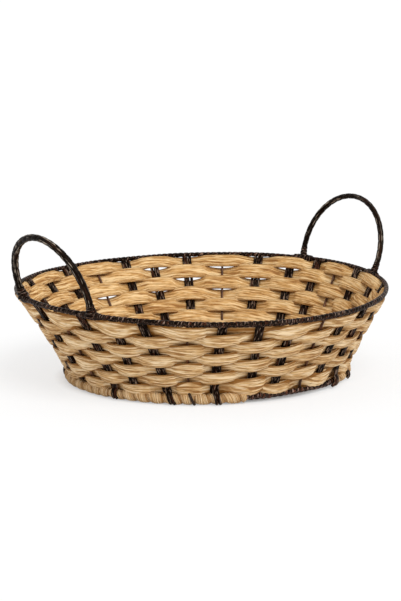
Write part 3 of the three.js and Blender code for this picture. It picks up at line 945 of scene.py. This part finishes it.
# The star's sticks: flat split cane, dark stained, which meet under the floor's middle.
# They narrow toward it, lie flat among the floor's rows and reach out to the inside of the base hoop.
arm_width = 0.008
stick_start = 0.002
stick_steps = 40
stick_sides = 24
stick_grooves = 0.16
stick_stain_depth = 0.002
stick_squareness = 0.5
hub = np.array([base_shift[0], base_shift[1], floor_height])
arms = []
for arm in range(star_arms):
    tip = base_point(arm / star_arms * 2 * np.pi, floor_start) + [0, 0, floor_height]
    reach = np.linalg.norm(tip - hub)
    along = (tip - hub) / reach
    across = np.cross([0, 0, 1], along)
    distance = np.linspace(stick_start, reach, stick_steps)
    width_places = [0, 0.022, 0.05, reach - 0.003, reach]
    width = arm_width / 2 * np.interp(distance, width_places, [0.22, 0.9, 1, 1, 0.75])
    phi = round_steps(stick_sides)
    wide = softened(np.cos(phi), stick_squareness)
    grooved = 1 - stick_grooves * np.cos(3 * np.pi * wide / 2) ** 8
    tall = softened(np.sin(phi), stick_squareness) * grooved
    rings = (hub + along * distance[:, None])[:, None] + across * (width[:, None] * wide)[..., None]
    rings = rings + np.array([0, 0, 1]) * (stick_thickness / 2 * tall)[None, :, None]
    fibre = np.stack([distance[:, None] + arm + 0 * phi, width[:, None] * wide,
                      0 * width[:, None] + stick_stain_depth * tall], -1)
    arms.append(skin_piece("stick", rings, False, stake_paint, fibre))
star = join_pieces("star_sticks", arms)
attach(star, "root")
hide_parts("floor_star")

# The floor's middle: a coil of straw sewn down over the place where the sticks meet.
# Its end thins out along the last turn, so that the coil fills the oval that the floor rows leave.
coil_turns = 3
coil_start = 0.1
coil_end = 0.9
coil_lot = 91
coil_steps = 460
coil_thickness = 0.004
coil_gap = 0.0005
coil_rest = 0.0003
coil_overlap = 0.51
coil_tail_thinning = 0.8
coil_stain_stretch = 0.33
coil_half_length = hub_half_length - coil_gap
coil_half_width = hub_half_length - (base_half_length - base_half_width) - coil_gap
turn = np.linspace(coil_start, coil_turns + coil_end, coil_steps)
angle = turn * 2 * np.pi
tail = np.clip(turn - coil_turns, 0, 1)
coil_share = (turn - 0.5 * np.clip(turn, 0, 1) - 0.5 * tail) / coil_turns
oval = np.stack([coil_half_length * np.cos(angle), coil_half_width * np.sin(angle), 0 * angle], -1)
coil_height = floor_height + stick_thickness / 2 + coil_rest + coil_thickness / 2
coil_level = np.array([base_shift[0], base_shift[1], coil_height])
centre = coil_level + oval * coil_share[:, None]
up = straight_up(centre)
out = np.cross(unit(np.gradient(centre, axis=0)), up)
coil_width = np.linalg.norm(oval, axis=1) / coil_turns * (1 - tail)
half_thickness = coil_thickness / 2 * (1 - coil_tail_thinning * tail ** 4)
rings, fibre, groove, phi, rise = straw_rings(centre, up, out, half_thickness, coil_width * coil_overlap,
                                              run_along(centre) * 3, coil_lot)
# Painted shade in the grooves between the strands and along the seams between the turns.
tuck = groove + floor_seam_shade * np.abs(np.sin(phi)) ** floor_seam_sharpness
coil = skin_piece("straw_coil", rings, False, floor_straw_paint, fibre * [coil_stain_stretch, 1, 1], tuck)
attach(coil, "root")
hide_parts("floor_centre")

# The rim hoop: a closed wire hoop bound all round with dark cane, along the wall's top edge.
# The stakes' tops end in it. The binding is fattest at the front and thinnest at the right end.
rim_steps = 2400
rim_sides = 20
rim_wrap_pitch = 0.0058
rim_groove = 0.34
rim_back_radius = 0.0024
rim_front_extra = 0.0006
rim_front = math.radians(-115)
rim_right_loss = 0.0004
rim_right = math.radians(-12)
binding_paint = stained_cane("rim_binding", dark=(0.003, 0.001, 0.0005), warm=(0.06, 0.018, 0.008),
                             scuff_and_glint=(0.28, 0.19, 0.145), scuff_and_glint_share=0.8, shine=0.04)
rim_turn = round_steps(rim_steps)
centre, along, up, out = wall_frame(rim_turn, rim_height)
flat_out = unit(np.cross(along, straight_up(centre)))
rim_radius = rim_back_radius + rim_front_extra * np.maximum(np.cos(rim_turn - rim_front), 0)
rim_radius = rim_radius - rim_right_loss * np.maximum(np.cos(rim_turn - rim_right), 0) ** 3
rings, fibre, groove = wrapped_cord(centre, flat_out, straight_up(centre), rim_radius[:, None],
                                    rim_wrap_pitch, rim_groove, rim_sides, closed=True)
rim_hoop = skin_piece("bound_rim_hoop", rings, True, binding_paint, fibre, groove)
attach(rim_hoop, "root")
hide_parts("rim_hoop")

# The handles: stiff wire hoops bound with dark cane, which lean outward from the rim.
# Their feet stand on the rim hoop, held by the lashings, and the left one is bound thicker.
handle_foot = math.radians(17.75)
handle_rise = 0.0568
horseshoe = math.radians(17.4)
handle_lean = math.radians(18.3)
handle_steps = 360
handle_sides = 20
handle_wrap_pitch = 0.009
handle_groove = 0.16
handle_stain_stretch = 0.4
handle_start = 0.0022
handle_ends = {"left": -1, "right": 1}
leg_radii = {"left": 0.0036, "right": 0.0029}
foot_x = rim_half_length * math.cos(handle_foot)
arch_half_width = rim_half_width * math.sin(handle_foot) / math.cos(horseshoe)
handle_paint = stained_cane("handle_binding", dark=(0.003, 0.001, 0.0005), warm=(0.022, 0.009, 0.005),
                            scuff_and_glint=(0.33, 0.27, 0.21), scuff_and_glint_share=0.85, shine=0.06)


def arch_point(side, turn):
    rise = handle_rise * (np.sin(turn) + math.sin(horseshoe))
    x = side * (foot_x + rise * math.sin(handle_lean))
    y = arch_half_width * np.cos(turn)
    hoop_top = rim_height + rim_saddle * math.cos(2 * handle_foot) + rim_tilt * y / rim_half_width
    return np.stack([x, y, hoop_top + rise * math.cos(handle_lean)], -1)


def arch_frame(side, turn):
    centre = arch_point(side, turn)
    along = unit(arch_point(side, turn + angle_step) - centre)
    across = np.broadcast_to([math.cos(handle_lean), 0, -side * math.sin(handle_lean)], centre.shape)
    return centre, along, across, np.cross(along, across)


for name, side in handle_ends.items():
    low = math.asin(handle_start * math.cos(horseshoe) / handle_rise - math.sin(horseshoe))
    turn = np.linspace(low, math.pi - low, handle_steps)
    radius = leg_radii[name]
    centre, along, across, out = arch_frame(side, turn)
    rings, fibre, groove = wrapped_cord(centre, out, across, radius, handle_wrap_pitch, handle_groove,
                                        handle_sides)
    run = run_along(centre)
    phi = round_steps(handle_sides)
    fibre = np.stack([handle_stain_stretch * run[:, None] + 0 * phi, radius * np.cos(phi) + 0 * run[:, None],
                      radius * np.sin(phi) + 0 * run[:, None]], -1)
    handle = skin_piece("bound_handle_" + name, rings, False, handle_paint, fibre, groove)
    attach(handle, "root")
    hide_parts("handle_" + name)

# The lashings: dark cane wound tight round each foot of a handle and on along the rim beside it.
# Each is a collar that narrows up the handle's leg and a band that swells on the rim, fatter at the left.
lashing_rise = 0.0125
lashing_reach = 0.011
lashing_start = 0.001
lashing_pitch = 0.0035
lashing_groove = 0.2
lashing_bulk = {"left": 0.9, "right": 0.5}
collar_steps = 60
collar_slack = 1.05
band_steps = 80
band_swell = 0.4
for name, side in handle_ends.items():
    for end, foot_y in (("front", -1), ("back", 1)):
        distance = np.linspace(lashing_start, lashing_rise, collar_steps)
        turn = np.arcsin(distance * math.cos(horseshoe) / handle_rise - math.sin(horseshoe))
        if end == "front":
            turn = math.pi - turn
        centre, along, across, out = arch_frame(side, turn)
        narrowing = np.interp(distance, [lashing_start, 0.004, 0.008, lashing_rise], [0.9, 0.5, 0.2, 0])
        radius = leg_radii[name] * (collar_slack + lashing_bulk[name] * narrowing)
        rings, fibre, groove = wrapped_cord(centre, out, across, radius[:, None],
                                            lashing_pitch, lashing_groove)
        collar = skin_piece("collar", rings, False, binding_paint, fibre, groove)
        foot_angle = math.atan2(foot_y * math.sin(handle_foot), side * math.cos(handle_foot))
        along_band = np.linspace(-1, 1, band_steps)
        rim_angle = along_band * lashing_reach / rim_half_length + foot_angle
        centre, along, up, out = wall_frame(rim_angle, rim_height)
        radius = rim_hoop_radius * (1 + band_swell * lashing_bulk[name] * np.cos(along_band * np.pi / 2))
        flat_out = unit(np.cross(along, straight_up(centre)))
        rings, fibre, groove = wrapped_cord(centre, flat_out, straight_up(centre), radius[:, None],
                                            lashing_pitch, lashing_groove)
        band = skin_piece("band", rings, False, binding_paint, fibre, groove)
        lashing = join_pieces("cane_lashing_%s_%s" % (name, end), [collar, band])
        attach(lashing, "root")
        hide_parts("lashing_%s_%s" % (name, end))
